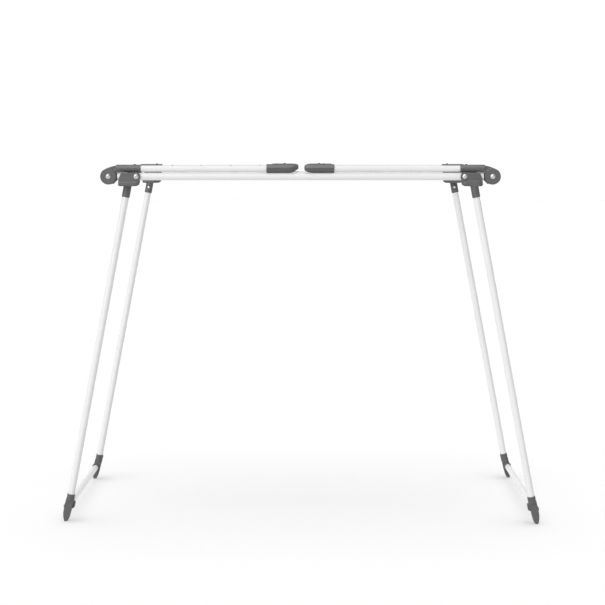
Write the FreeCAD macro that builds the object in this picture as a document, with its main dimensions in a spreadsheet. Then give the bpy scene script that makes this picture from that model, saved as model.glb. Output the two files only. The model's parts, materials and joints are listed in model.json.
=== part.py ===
import FreeCAD, Part
import math
import os

import Sketcher

# Winged clothes drying rack: a rod frame on two splayed leg frames, with two folding wings on top.
#
# Frame: X along the rack, Y across it (front is -Y), Z up, origin on the floor under the middle.
# Every hinge and leg pivot turns about Y, at the height of the two long rails.
# Left pieces are drawn with +X pointing to the middle of the rack, and right pieces are the same
# drawings turned half a turn about Z.

LEFT, RIGHT = -1, 1
FRONT, REAR = -1, 1
SIDE_NAMES = {LEFT: "left", RIGHT: "right"}
END_NAMES = {FRONT: "front", REAR: "rear"}

DRIVING_SIZES = {
    # centre frame
    "rail_height": 926.77,
    "rail_spread": 285,
    "rail_diameter": 20,
    "rail_wall": 1.2,
    "rail_end": 23.5,
    "cross_tube_diameter": 14,
    "cross_tube_x": 352,
    "tube_wall": 1,
    "rod_diameter": 4,
    "rod_pitch": 88,
    # wings
    "hinge_x": 505,
    "wing_lift": 20.6,
    "wing_tube_diameter": 16.4,
    "wing_tube_start": 45.5,
    "wing_tube_end": 459,
    "elbow_end": 85,
    "elbow_diameter": 21,
    "elbow_underside": 10.4,
    "elbow_start": 20,
    "disc_diameter": 42.4,
    "disc_width": 25,
    "neck_width": 16,
    "neck_top": 30.2,
    "neck_x": 36,
    "slot_width": 10.2,
    "tip_start": 89,
    "tip_shoulder": 41,
    "tip_nose": 10.5,
    "tip_diameter": 24,
    "outer_bar_x": 37,
    "outer_bar_diameter": 10,
    "grommet_diameter": 14,
    "grommet_neck": 7,
    "grommet_flange": 1.1,
    "first_rod_x": 390,
    # hinge knuckle
    "tongue_width": 9.4,
    "tongue_radius": 9.5,
    "heel_depth": 19.6,
    "plug_length": 25,
    # legs
    "pivot_x": 431.5,
    "splay": 11,
    "leg_offset": 20,
    "leg_nesting": 11.5,
    "leg_length": 948,
    "leg_diameter": 18,
    "leg_top": 18.5,
    "leg_foot_gap": 62,
    "socket_diameter": 21.2,
    "socket_end": 59.5,
    "bracket_top": 9.9,
    "bracket_bottom": 25.5,
    "bracket_reach": 48,
    "bracket_width": 28,
    "bracket_eye": 22.6,
    "web_start": 14.5,
    "rail_clearance": 0.1,
    "crossbar_diameter": 17,
    "crossbar_lift": 37,
    "crossbar_out": 4,
    "foot_collar_top": 75.5,
    "foot_collar_diameter": 21.2,
    "foot_width": 16,
    "foot_pad_outer": 4.6,
    "foot_pad_inner": 1,
    "foot_belly": 11.9,
    "foot_belly_height": 27,
    "foot_belly_top": 44,
    "foot_toe_top": 64,
    "clip_wall": 2.8,
    "clip_length": 26,
    # fasteners
    "bolt_diameter": 6,
    "bolt_head_diameter": 13,
    "nut_flats_diameter": 11.4,
    "nut_height": 5,
    "screw_diameter": 3,
    "screw_head_diameter": 6.4,
    "rivet_diameter": 4,
    "rivet_head_diameter": 7,
    "running_clearance": 0.06,
    "fit_clearance": 0.05,
}

WING_SCREW_X = {FRONT: 62, REAR: 52}
ELBOW_SCREW_X = 69
RIVET_DISTANCE = 43
FOOT_RIVET_HEIGHT = 69.5
CENTRE_ROD_COUNT = 7
WING_ROD_COUNT = 4
STOP_ANGLE = 100
STOP_PLAY = 1
NOSE_STATIONS = 8
NOSE_END = 0.36
NOSE_POWER = 2.4
NOSE_RISE = 2.2
EPSILON = 0.05
RECESS_SHARE = 0.55
# A block's corner stays this far inside a cylinder that it would only touch.
INSIDE = 0.25
# How far a cutting tool passes the face that it cuts through.
PAST = 1
# How much further than its tube or rod a blind hole goes.
SPARE = 0.5
HEEL_FOOT = 9
NECK_IN_ARM = 6
SADDLE_GAP = 0.4
BAR_HOLE_START = 4
BAR_END_GAP = 4.5
ROD_END_GAP = 4
CHEEK_TOP_IN = 8
CHEEK_WAIST = (1.2, -9)
CHEEK_CHAMFER = 3.5
CHEEK_TOE = (-1, 5)
BOSS_TOP = (-39, -9)
BOSS_BOTTOM = (-41, -11)
SOCKET_START = 20
RAIL_SLOT_PLAY = 0.7
FOOT_BLOCK_FLOOR = 35
FOOT_BLOCK_TOP = 56
FOOT_BLOCK_BACK = -5
FOOT_BLOCK_CORNER = 3.5
FOOT_BLOCK_REACH = {FRONT: 13.8, REAR: 9.4}
FOOT_BLOCK_START = 4
COLLAR_FLOOR = 6
FOOT_BLOCK_WIDTH = 14
FOOT_INSTEP = [(4.2, 3.4), (6.2, 11), (7.8, 26), (8.6, 42)]
CLIP_START = 6
CLIP_SEAT_START = 2
CLIP_LIP = 2.5
CLIP_HOOK_RISE = 0.52
CROSSBAR_END_GAP = 2.5
SIXTHS = [math.pi / 3 * number for number in range(6)]
BOLT_SOCKET_RADIUS = 2.9
SCREW_CROSS = (2.0, 0.45)


class Size:
    """A number with the spreadsheet expression that it comes from."""

    def __init__(self, value, text):
        self.value = value
        self.text = text

    def join(self, other, sign, value):
        return Size(value, f"({self.text} {sign} {as_size(other).text})")

    def __add__(self, other):
        return self.join(other, "+", self.value + as_size(other).value)

    def __sub__(self, other):
        return self.join(other, "-", self.value - as_size(other).value)

    def __mul__(self, other):
        return self.join(other, "*", self.value * as_size(other).value)

    def __truediv__(self, other):
        return self.join(other, "/", self.value / as_size(other).value)

    def __radd__(self, other):
        return as_size(other) + self

    def __rsub__(self, other):
        return as_size(other) - self

    def __rmul__(self, other):
        return as_size(other) * self

    def __neg__(self):
        return as_size(0) - self


def as_size(number):
    if isinstance(number, Size):
        return number
    return Size(float(number), f"{number:.6f}")


def root_of(size):
    return Size(math.sqrt(size.value), f"sqrt({size.text})")


os.makedirs("parts", exist_ok=True)
doc = FreeCAD.newDocument("drying_rack")
sheet = doc.addObject("Spreadsheet::Sheet", "Sizes")
cells = {}
for row, (alias, number) in enumerate(DRIVING_SIZES.items(), start=1):
    sheet.set(f"A{row}", alias)
    sheet.set(f"B{row}", str(number))
    sheet.setAlias(f"B{row}", alias)
    cells[alias] = Size(float(number), f"Sizes.{alias}")
doc.recompute()

node_objects = []


def turn(side):
    """Half a turn about Z for the right side."""
    return FreeCAD.Rotation(FreeCAD.Vector(0, 0, 1), 180 if side == RIGHT else 0)


def at_hinge(side, end):
    c = cells
    base = FreeCAD.Vector(side * c["hinge_x"].value, end * c["rail_spread"].value, c["rail_height"].value)
    return FreeCAD.Placement(base, turn(side))


def at_pivot(side, end):
    c = cells
    base = FreeCAD.Vector(side * c["pivot_x"].value, end * c["rail_spread"].value, c["rail_height"].value)
    return FreeCAD.Placement(base, turn(side))


def lean():
    """From the rack's axes to the leg's: Z up along the leg, X square to it, towards the middle."""
    return FreeCAD.Placement(
        FreeCAD.Vector(), FreeCAD.Rotation(FreeCAD.Vector(0, 1, 0), cells["splay"].value)
    )


def keep(thing, label, placement=None):
    """Name a finished sub-part and put it in place."""
    thing.Label = label
    if placement is not None:
        thing.Placement = placement
    node_objects.append(thing)
    return thing


# ---------------------------------------------------------------- primitives

def cylinder(name, radius, length, axis, start):
    """A cylinder along an axis, from its start point; sizes are bound to the sheet."""
    thing = doc.addObject("Part::Cylinder", name)
    thing.setExpression("Radius", as_size(radius).text)
    thing.setExpression("Height", as_size(length).text)
    rotation = FreeCAD.Rotation(FreeCAD.Vector(0, 0, 1), FreeCAD.Vector(*axis))
    thing.Placement = FreeCAD.Placement(FreeCAD.Vector(*[as_size(value).value for value in start]), rotation)
    return thing


def cut(name, base, tools):
    """Base less all of the tools."""
    tool = tools[0]
    if len(tools) > 1:
        tool = doc.addObject("Part::MultiFuse", f"{name}_tools")
        tool.Shapes = tools
    thing = doc.addObject("Part::Cut", name)
    thing.Base = base
    thing.Tool = tool
    return thing


def group(name, pieces):
    thing = doc.addObject("Part::Compound", name)
    thing.Links = pieces
    return thing


def copies(name, master, placements):
    """Linked copies of one drawn piece, as a group of separate solids."""
    links = []
    for number, placement in enumerate(placements, start=1):
        link = doc.addObject("App::Link", f"{name}_{number}")
        link.LinkedObject = master
        link.LinkTransform = False
        link.Placement = placement
        links.append(link)
    return group(name, links)


# ---------------------------------------------------------------- sketches

def origin_plane(body, role):
    return next(item for item in body.Origin.OriginFeatures if item.Role == role)


def new_sketch(body, role, name, offset=None):
    sketch = body.newObject("Sketcher::SketchObject", name)
    sketch.AttachmentSupport = [(origin_plane(body, role), "")]
    sketch.MapMode = "FlatFace"
    if offset is not None:
        sketch.AttachmentOffset = offset
    return sketch


def tie(sketch, kind, refs, size, name):
    """A named dimension, bound to the sheet."""
    index = sketch.addConstraint(Sketcher.Constraint(kind, *refs, as_size(size).value))
    sketch.renameConstraint(index, name)
    sketch.setExpression(f"Constraints.{name}", as_size(size).text)


def circle(body, role, name, centre, radius, offset=None):
    """A sketch with one circle."""
    sketch = new_sketch(body, role, name, offset)
    x, y = (as_size(value) for value in centre)
    shape = Part.Circle(FreeCAD.Vector(x.value, y.value, 0), FreeCAD.Vector(0, 0, 1), as_size(radius).value)
    index = sketch.addGeometry(shape)
    tie(sketch, "DistanceX", (-1, 1, index, 3), x, "centre_across")
    tie(sketch, "DistanceY", (-1, 1, index, 3), y, "centre_up")
    tie(sketch, "Radius", (index,), radius, "radius")
    return sketch


def outline(body, role, name, points, arcs=None, offset=None):
    """A closed sketch through the points.

    arcs gives, for the side that starts at a point's number, the centre and radius of its arc and
    whether it runs counter-clockwise. An arc's ends keep one coordinate and slide on the circle.
    """
    sketch = new_sketch(body, role, name, offset)
    arcs = arcs or {}
    count = len(points)
    points = [tuple(as_size(value) for value in point) for point in points]
    fixed = {number: {"x", "y"} for number in range(count)}
    ends = []
    for number in range(count):
        start, finish = points[number], points[(number + 1) % count]
        if number not in arcs:
            line = Part.LineSegment(
                FreeCAD.Vector(start[0].value, start[1].value, 0),
                FreeCAD.Vector(finish[0].value, finish[1].value, 0),
            )
            ends.append((sketch.addGeometry(line), 1, 2))
            continue
        centre_x, centre_y, radius, counter = arcs[number]
        centre_x, centre_y, radius = as_size(centre_x), as_size(centre_y), as_size(radius)
        angles = []
        for place, point in ((number, start), ((number + 1) % count, finish)):
            across = point[0].value - centre_x.value
            up = point[1].value - centre_y.value
            angles.append(math.atan2(up, across))
            fixed[place] &= {"x"} if abs(across) < abs(up) else {"y"}
        if not counter:
            angles.reverse()
        whole = Part.Circle(
            FreeCAD.Vector(centre_x.value, centre_y.value, 0), FreeCAD.Vector(0, 0, 1), radius.value
        )
        index = sketch.addGeometry(Part.ArcOfCircle(whole, *angles))
        ends.append((index, 1, 2) if counter else (index, 2, 1))
        tie(sketch, "DistanceX", (-1, 1, index, 3), centre_x, f"arc_across_{number}")
        tie(sketch, "DistanceY", (-1, 1, index, 3), centre_y, f"arc_up_{number}")
        tie(sketch, "Radius", (index,), radius, f"arc_radius_{number}")
    for number in range(count):
        index, first, last = ends[number]
        following, next_first, _ = ends[(number + 1) % count]
        sketch.addConstraint(Sketcher.Constraint("Coincident", index, last, following, next_first))
        across, up = points[number]
        if "x" in fixed[number]:
            tie(sketch, "DistanceX", (-1, 1, index, first), across, f"across_{number}")
        if "y" in fixed[number]:
            tie(sketch, "DistanceY", (-1, 1, index, first), up, f"up_{number}")
    return sketch


def pad(body, sketch, length, both_ways=False, reverse=False):
    feature = body.newObject("PartDesign::Pad", f"{sketch.Name}_pad")
    feature.Profile = sketch
    feature.setExpression("Length", as_size(length).text)
    feature.Midplane = both_ways
    feature.Reversed = reverse
    return feature


def pocket(body, sketch, length, both_ways=False, reverse=False):
    """Cut the sketch out of the body, and check that it took something away."""
    doc.recompute()
    before = body.Shape.Volume
    feature = body.newObject("PartDesign::Pocket", f"{sketch.Name}_pocket")
    feature.Profile = sketch
    feature.setExpression("Length", as_size(length).text)
    feature.Midplane = both_ways
    feature.Reversed = reverse
    doc.recompute()
    if body.Shape.Volume > before - EPSILON:
        raise RuntimeError(f"{feature.Name} cuts nothing")
    return feature


def shift(x=0, y=0, z=0):
    """An offset from a sketch's plane; z is along the plane's normal."""
    values = [as_size(value).value for value in (x, y, z)]
    return FreeCAD.Placement(FreeCAD.Vector(*values), FreeCAD.Rotation())


# ---------------------------------------------------------------- centre frame

def make_rail(end):
    c = cells
    name = f"{END_NAMES[end]}_rail"
    half = c["hinge_x"] - c["rail_end"]
    radius = c["rail_diameter"] / 2
    skin = cylinder(f"{name}_skin", radius, half * 2, (1, 0, 0), (-half, 0, 0))
    bore = cylinder(
        f"{name}_bore", radius - c["rail_wall"], (half + PAST) * 2, (1, 0, 0), (-half - PAST, 0, 0)
    )
    holes = [
        cylinder(
            f"{name}_hole_{SIDE_NAMES[side]}",
            c["bolt_diameter"] / 2 + c["fit_clearance"],
            c["rail_diameter"] * 2,
            (0, 1, 0),
            (side * c["pivot_x"], -c["rail_diameter"], 0),
        )
        for side in (LEFT, RIGHT)
    ]
    rail = cut(name, skin, [bore] + holes)
    base = FreeCAD.Vector(0, end * c["rail_spread"].value, c["rail_height"].value)
    keep(rail, name, FreeCAD.Placement(base, FreeCAD.Rotation()))


def make_cross_tube(side):
    """A tube between the rails, its ends hollowed to sit against them."""
    c = cells
    name = f"{SIDE_NAMES[side]}_cross_tube"
    radius = c["cross_tube_diameter"] / 2
    half = c["rail_spread"] - radius
    skin = cylinder(f"{name}_skin", radius, half * 2, (0, 1, 0), (0, -half, 0))
    bore = cylinder(
        f"{name}_bore", radius - c["tube_wall"], (half + PAST) * 2, (0, 1, 0), (0, -half - PAST, 0)
    )
    saddles = [
        cylinder(
            f"{name}_saddle_{END_NAMES[end]}",
            c["rail_diameter"] / 2 + c["fit_clearance"],
            c["rail_diameter"] * 2,
            (1, 0, 0),
            (-c["rail_diameter"], end * c["rail_spread"], 0),
        )
        for end in (FRONT, REAR)
    ]
    tube = cut(name, skin, [bore] + saddles)
    base = FreeCAD.Vector(side * c["cross_tube_x"].value, 0, c["rail_height"].value)
    keep(tube, name, FreeCAD.Placement(base, FreeCAD.Rotation()))


def make_centre_rods():
    c = cells
    half = c["rail_spread"] - c["rail_diameter"] / 2 - c["fit_clearance"]
    first = -(CENTRE_ROD_COUNT - 1) / 2
    rods = [
        cylinder(
            f"centre_rod_{number + 1}",
            c["rod_diameter"] / 2,
            half * 2,
            (0, 1, 0),
            ((first + number) * c["rod_pitch"], -half, 0),
        )
        for number in range(CENTRE_ROD_COUNT)
    ]
    base = FreeCAD.Vector(0, 0, c["rail_height"].value)
    keep(group("centre_rods", rods), "centre_rods", FreeCAD.Placement(base, FreeCAD.Rotation()))


def make_knuckle(side, end):
    """The plug in a rail's end, with the tongue that the wing's elbow turns on and its stop heel."""
    c = cells
    name = f"{END_NAMES[end]}_{SIDE_NAMES[side]}_knuckle"
    body = doc.addObject("PartDesign::Body", name)
    radius = c["tongue_radius"]
    collar_start = c["rail_end"] - PAST
    stop = math.radians(STOP_ANGLE + 180 + STOP_PLAY)
    near = (radius * math.cos(stop), radius * math.sin(stop))
    far = (c["heel_depth"] * math.cos(stop), c["heel_depth"] * math.sin(stop))
    points = [
        (0, radius),
        near,
        far,
        (far[0] + HEEL_FOOT, -c["heel_depth"]),
        (collar_start, -radius),
        (collar_start, radius),
    ]
    tongue = outline(body, "XZ_Plane", f"{name}_tongue", points, {0: (0, 0, radius, True)})
    pad(body, tongue, c["tongue_width"], both_ways=True)
    collar = circle(
        body, "YZ_Plane", f"{name}_collar", (0, 0), c["rail_diameter"] / 2, shift(z=collar_start)
    )
    pad(body, collar, PAST)
    plug_radius = c["rail_diameter"] / 2 - c["rail_wall"] - c["fit_clearance"]
    plug = circle(body, "YZ_Plane", f"{name}_plug", (0, 0), plug_radius, shift(z=collar_start + SPARE))
    pad(body, plug, c["plug_length"])
    hole_radius = c["bolt_diameter"] / 2 + c["fit_clearance"]
    hole = circle(body, "XZ_Plane", f"{name}_hole", (0, 0), hole_radius)
    pocket(body, hole, c["disc_width"], both_ways=True)
    keep(body, name, at_hinge(side, end))


# ---------------------------------------------------------------- wings

def make_elbow(side, end):
    """Hinge disc, neck and tube socket in one moulding, slotted for the knuckle's tongue."""
    c = cells
    name = f"{SIDE_NAMES[side]}_wing_{END_NAMES[end]}_elbow"
    body = doc.addObject("PartDesign::Body", name)
    disc = c["disc_diameter"] / 2
    arm = c["elbow_diameter"] / 2
    lift = c["wing_lift"]
    underside = c["elbow_underside"]

    rounding = circle(body, "XZ_Plane", f"{name}_disc", (0, 0), disc)
    pad(body, rounding, c["disc_width"], both_ways=True)

    # The neck's top is an arc, level where it meets the arm and tangent to the disc.
    neck_x, neck_top = c["neck_x"], c["neck_top"]
    bend = (neck_x * neck_x + neck_top * neck_top - disc * disc) / ((neck_top - disc) * 2)
    centre_z = neck_top - bend
    reach = bend - disc
    tangent = (-(neck_x * disc / reach), -(centre_z * disc / reach))
    points = [
        (neck_x, neck_top),
        tangent,
        (0, 0),
        (root_of(disc * disc - underside * underside), underside),
        (neck_x + NECK_IN_ARM, underside),
        (neck_x + NECK_IN_ARM, neck_top),
    ]
    neck = outline(
        body, "XZ_Plane", f"{name}_neck", points, {0: (neck_x, centre_z, bend, True)}
    )
    pad(body, neck, c["neck_width"], both_ways=True)

    start = c["elbow_start"]
    barrel = circle(body, "YZ_Plane", f"{name}_arm", (0, lift), arm, shift(z=start))
    pad(body, barrel, c["elbow_end"] - start)

    bore_radius = c["wing_tube_diameter"] / 2 + c["fit_clearance"]
    bore = circle(
        body, "YZ_Plane", f"{name}_bore", (0, lift), bore_radius, shift(z=c["elbow_end"] + PAST)
    )
    pocket(body, bore, c["elbow_end"] + PAST - c["wing_tube_start"] + SPARE)

    flat = outline(
        body,
        "XZ_Plane",
        f"{name}_flat",
        [
            (disc + INSIDE, -arm),
            (c["elbow_end"] + PAST, -arm),
            (c["elbow_end"] + PAST, underside),
            (disc + INSIDE, underside),
        ],
    )
    pocket(body, flat, c["elbow_diameter"] * 2, both_ways=True)

    # The slot is open from the tongue's top edge all the way round to the stop face.
    eye = circle(body, "XZ_Plane", f"{name}_eye", (0, 0), c["tongue_radius"] + PAST)
    pocket(body, eye, c["slot_width"], both_ways=True)
    stop = math.radians(STOP_ANGLE)
    far = c["disc_diameter"]
    slot = outline(
        body,
        "XZ_Plane",
        f"{name}_slot",
        [
            (0, 0),
            (far * math.cos(stop), far * math.sin(stop)),
            (-far, far * math.sin(stop)),
            (-far, -far),
            (far, -far),
            (far, underside),
            (0, underside),
        ],
    )
    pocket(body, slot, c["slot_width"], both_ways=True)

    hole_radius = c["bolt_diameter"] / 2 + c["running_clearance"]
    hole = circle(body, "XZ_Plane", f"{name}_hole", (0, 0), hole_radius)
    pocket(body, hole, c["disc_width"] + PAST * 2, both_ways=True)
    screw_radius = c["screw_diameter"] / 2 + c["fit_clearance"]
    screw = circle(
        body, "XY_Plane", f"{name}_screw", (ELBOW_SCREW_X, 0), screw_radius, shift(z=lift + arm + PAST)
    )
    pocket(body, screw, arm)
    keep(body, name, at_hinge(side, end))


def make_wing_tube(side, end):
    """A wing's long side tube. The one on the grommet side has holes in its inner face."""
    c = cells
    name = f"{SIDE_NAMES[side]}_wing_{END_NAMES[end]}_tube"
    radius = c["wing_tube_diameter"] / 2
    start, finish = c["wing_tube_start"], c["wing_tube_end"]
    lift = c["wing_lift"]
    skin = cylinder(f"{name}_skin", radius, finish - start, (1, 0, 0), (start, 0, lift))
    bore = cylinder(
        f"{name}_bore", radius - c["tube_wall"], finish - start + PAST * 2, (1, 0, 0), (start - PAST, 0, lift)
    )
    screw_radius = c["screw_diameter"] / 2 + c["fit_clearance"]
    tip_screw = c["hinge_x"] - WING_SCREW_X[end]
    holes = [
        cylinder(f"{name}_screw_{number}", screw_radius, radius * 2, (0, 0, 1), (across, 0, lift))
        for number, across in enumerate((as_size(ELBOW_SCREW_X), tip_screw), start=1)
    ]
    inner = end * side
    if inner == -1:
        for number in range(WING_ROD_COUNT):
            across = c["hinge_x"] - c["first_rod_x"] + number * c["rod_pitch"]
            holes.append(
                cylinder(
                    f"{name}_rod_hole_{number + 1}",
                    c["grommet_neck"] / 2 + c["fit_clearance"],
                    radius * 2,
                    (0, inner, 0),
                    (across, 0, lift),
                )
            )
    keep(cut(name, skin, [bore] + holes), name, at_hinge(side, end))


def make_tip(side, end):
    """Bullet-nosed end piece: it takes the side tube and the outer bar, and sits astride the rail."""
    c = cells
    name = f"{SIDE_NAMES[side]}_wing_{END_NAMES[end]}_tip"
    body = doc.addObject("PartDesign::Body", name)
    lift = c["wing_lift"]
    radius = c["tip_diameter"] / 2
    near = c["hinge_x"] - c["tip_start"]
    shoulder = c["hinge_x"] - c["tip_shoulder"]
    nose = c["hinge_x"] - c["tip_nose"]
    straight = circle(body, "YZ_Plane", f"{name}_straight", (0, lift), radius, shift(z=near))
    pad(body, straight, shoulder - near)

    # The nose narrows along a superellipse and rises a little, as its underside curves up.
    # Its seam faces outwards, away from the outer bar's hole.
    inner = end * side
    seam = FreeCAD.Rotation(FreeCAD.Vector(0, 0, 1), 180 if inner == 1 else 0)
    length = nose - shoulder
    sections = []
    for number in range(NOSE_STATIONS + 1):
        along = math.sin(math.pi / 2 * number / NOSE_STATIONS)
        share = NOSE_END + (1 - NOSE_END) * math.sqrt(1 - along**NOSE_POWER)
        rise = NOSE_RISE * along**2
        section = circle(
            body,
            "YZ_Plane",
            f"{name}_nose_{number}",
            (0, -inner * (lift + rise)),
            radius * share,
            FreeCAD.Placement(FreeCAD.Vector(0, 0, (shoulder + length * along).value), seam),
        )
        sections.append(section)
    loft = body.newObject("PartDesign::AdditiveLoft", f"{name}_nose")
    loft.Profile = sections[0]
    loft.Sections = sections[1:]
    loft.Ruled = True

    bore_radius = c["wing_tube_diameter"] / 2 + c["fit_clearance"]
    bore = circle(body, "YZ_Plane", f"{name}_bore", (0, lift), bore_radius, shift(z=near - PAST))
    pocket(body, bore, c["wing_tube_end"] + SPARE - near + PAST, reverse=True)

    saddle = circle(
        body,
        "YZ_Plane",
        f"{name}_saddle",
        (0, 0),
        c["rail_diameter"] / 2 + SADDLE_GAP,
        shift(z=near - PAST),
    )
    pocket(body, saddle, nose - near + PAST * 2, reverse=True)

    bar_radius = c["outer_bar_diameter"] / 2 + c["fit_clearance"]
    bar = circle(
        body,
        "XZ_Plane",
        f"{name}_bar_hole",
        (c["hinge_x"] - c["outer_bar_x"], lift),
        bar_radius,
        shift(z=-inner * BAR_HOLE_START),
    )
    pocket(body, bar, radius, reverse=inner == -1)

    screw_radius = c["screw_diameter"] / 2 + c["fit_clearance"]
    screw = circle(
        body,
        "XY_Plane",
        f"{name}_screw",
        (c["hinge_x"] - WING_SCREW_X[end], 0),
        screw_radius,
        shift(z=lift + radius + PAST),
    )
    pocket(body, screw, radius)
    keep(body, name, at_hinge(side, end))


def make_outer_bar(side):
    c = cells
    name = f"{SIDE_NAMES[side]}_wing_outer_bar"
    radius = c["outer_bar_diameter"] / 2
    half = c["rail_spread"] - BAR_END_GAP
    skin = cylinder(f"{name}_skin", radius, half * 2, (0, 1, 0), (0, -half, 0))
    bore = cylinder(
        f"{name}_bore", radius - c["tube_wall"], (half + PAST) * 2, (0, 1, 0), (0, -half - PAST, 0)
    )
    height = (c["rail_height"] + c["wing_lift"]).value
    base = FreeCAD.Vector(side * c["outer_bar_x"].value, 0, height)
    keep(cut(name, skin, [bore]), name, FreeCAD.Placement(base, FreeCAD.Rotation()))


def wing_centre(side):
    """The middle of a wing's hinge line, in the rack's frame."""
    c = cells
    base = FreeCAD.Vector(side * c["hinge_x"].value, 0, c["rail_height"].value)
    return FreeCAD.Placement(base, turn(side))


def make_wing_rods(side):
    """Rods welded to one side tube and held by grommets in the other."""
    c = cells
    name = f"{SIDE_NAMES[side]}_wing_rods"
    welded = c["rail_spread"] - c["wing_tube_diameter"] / 2 - c["fit_clearance"]
    loose = c["rail_spread"] - ROD_END_GAP
    rods = [
        cylinder(
            f"{name}_{number + 1}",
            c["rod_diameter"] / 2,
            welded + loose,
            (0, 1, 0),
            (c["hinge_x"] - c["first_rod_x"] + number * c["rod_pitch"], -welded, c["wing_lift"]),
        )
        for number in range(WING_ROD_COUNT)
    ]
    keep(group(name, rods), name, wing_centre(side))


def make_grommets(side):
    """Soft bushes for the rods' loose ends, each with a flange that hugs the side tube."""
    c = cells
    name = f"{SIDE_NAMES[side]}_wing_grommets"
    tube = c["wing_tube_diameter"] / 2
    flange = c["grommet_flange"]
    width = c["grommet_diameter"]
    disc = cylinder(f"{name}_disc", width / 2, tube + flange * 2, (0, -1, 0), (0, 0, 0))
    skin = cylinder(f"{name}_skin", tube + flange, width * 2, (1, 0, 0), (-width, 0, 0))
    blank = doc.addObject("Part::Common", f"{name}_blank")
    blank.Base = disc
    blank.Tool = skin
    core = cylinder(f"{name}_core", tube + c["fit_clearance"], width * 2, (1, 0, 0), (-width, 0, 0))
    saddle = cut(f"{name}_saddle", blank, [core])
    neck = cylinder(
        f"{name}_neck", c["grommet_neck"] / 2, flange * 3, (0, 1, 0), (0, -tube - flange / 2, 0)
    )
    whole = doc.addObject("Part::Fuse", f"{name}_whole")
    whole.Base = saddle
    whole.Tool = neck
    bore = cylinder(
        f"{name}_bore", c["rod_diameter"] / 2 + c["fit_clearance"], width * 2, (0, 1, 0), (0, -width, 0)
    )
    master = cut(f"{name}_master", whole, [bore])
    placements = [
        FreeCAD.Placement(
            FreeCAD.Vector(
                (c["hinge_x"] - c["first_rod_x"] + number * c["rod_pitch"]).value,
                c["rail_spread"].value,
                c["wing_lift"].value,
            ),
            FreeCAD.Rotation(),
        )
        for number in range(WING_ROD_COUNT)
    ]
    keep(copies(name, master, placements), name, wing_centre(side))


# ---------------------------------------------------------------- legs

def leg_plane(end):
    """How far a leg stands from its rail's plane, in the drawing's own Y."""
    return -end * cells["leg_nesting"]


def make_bracket(side, end):
    """Leg bracket: two cheeks and a web round the rail, and a socket for the leg."""
    c = cells
    name = f"{SIDE_NAMES[side]}_{END_NAMES[end]}_bracket"
    body = doc.addObject("PartDesign::Body", name)
    top, bottom, reach = c["bracket_top"], -c["bracket_bottom"], -c["bracket_reach"]
    eye = c["bracket_eye"] / 2
    cheeks = outline(
        body,
        "XZ_Plane",
        f"{name}_cheeks",
        [
            (reach + CHEEK_TOP_IN, top),
            (reach + CHEEK_WAIST[0], CHEEK_WAIST[1]),
            (reach, bottom + CHEEK_CHAMFER),
            (reach + CHEEK_CHAMFER, bottom),
            (CHEEK_TOE[0], bottom),
            (CHEEK_TOE[1], bottom + CHEEK_CHAMFER),
            (eye - INSIDE * 2, -CHEEK_CHAMFER),
            (root_of(eye * eye - top * top), top),
        ],
    )
    pad(body, cheeks, c["bracket_width"], both_ways=True)
    round_end = circle(body, "XZ_Plane", f"{name}_eye", (0, 0), eye)
    pad(body, round_end, c["bracket_width"], both_ways=True)

    # A boss beside the web carries the leg, which stands clear of the other frame's legs.
    offset = leg_plane(end)
    away = 1 if offset.value > 0 else -1
    web_top = -(c["rail_diameter"] / 2 + c["rail_clearance"])
    boss = outline(
        body,
        "XZ_Plane",
        f"{name}_boss",
        [
            (BOSS_TOP[0], web_top - PAST),
            (BOSS_BOTTOM[0], bottom),
            (BOSS_BOTTOM[1], bottom),
            (BOSS_TOP[1], web_top - PAST),
        ],
    )
    pad(body, boss, c["leg_nesting"] + c["socket_diameter"] / 2 - INSIDE, reverse=away == 1)

    tilt = FreeCAD.Rotation(FreeCAD.Vector(0, 1, 0), c["splay"].value)
    start = FreeCAD.Vector(0, 0, -SOCKET_START)
    socket_plane = FreeCAD.Placement(tilt.multVec(start), tilt)
    socket = circle(
        body,
        "XY_Plane",
        f"{name}_socket",
        (-c["leg_offset"], offset),
        c["socket_diameter"] / 2,
        socket_plane,
    )
    pad(body, socket, c["socket_end"] - SOCKET_START, reverse=True)

    slot = outline(
        body,
        "XZ_Plane",
        f"{name}_slot",
        [
            (reach - PAST, web_top),
            (-c["web_start"], web_top),
            (-c["web_start"], bottom - PAST),
            (eye + PAST, bottom - PAST),
            (eye + PAST, eye + PAST),
            (reach - PAST, eye + PAST),
        ],
    )
    pocket(body, slot, c["rail_diameter"] + RAIL_SLOT_PLAY, both_ways=True)

    deep = FreeCAD.Placement(tilt.multVec(FreeCAD.Vector(0, 0, -c["leg_top"].value + SPARE)), tilt)
    bore = circle(
        body,
        "XY_Plane",
        f"{name}_bore",
        (-c["leg_offset"], offset),
        c["leg_diameter"] / 2 + c["fit_clearance"],
        deep,
    )
    pocket(body, bore, c["socket_end"] - c["leg_top"] + PAST * 3)

    hole_radius = c["bolt_diameter"] / 2 + c["running_clearance"]
    hole = circle(body, "XZ_Plane", f"{name}_hole", (0, 0), hole_radius)
    pocket(body, hole, c["bracket_width"] + PAST * 2, both_ways=True)

    inner = end * side
    facing = FreeCAD.Rotation(FreeCAD.Vector(1, 0, 0), 90)
    rivet_plane = FreeCAD.Placement(
        tilt.multVec(FreeCAD.Vector(-c["leg_offset"].value, offset.value, -RIVET_DISTANCE)), tilt * facing
    )
    rivet = circle(
        body,
        "XY_Plane",
        f"{name}_rivet_hole",
        (0, 0),
        c["rivet_diameter"] / 2 + c["fit_clearance"],
        rivet_plane,
    )
    pocket(body, rivet, c["socket_diameter"], reverse=inner == -1)
    keep(body, name, at_pivot(side, end))


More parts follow.
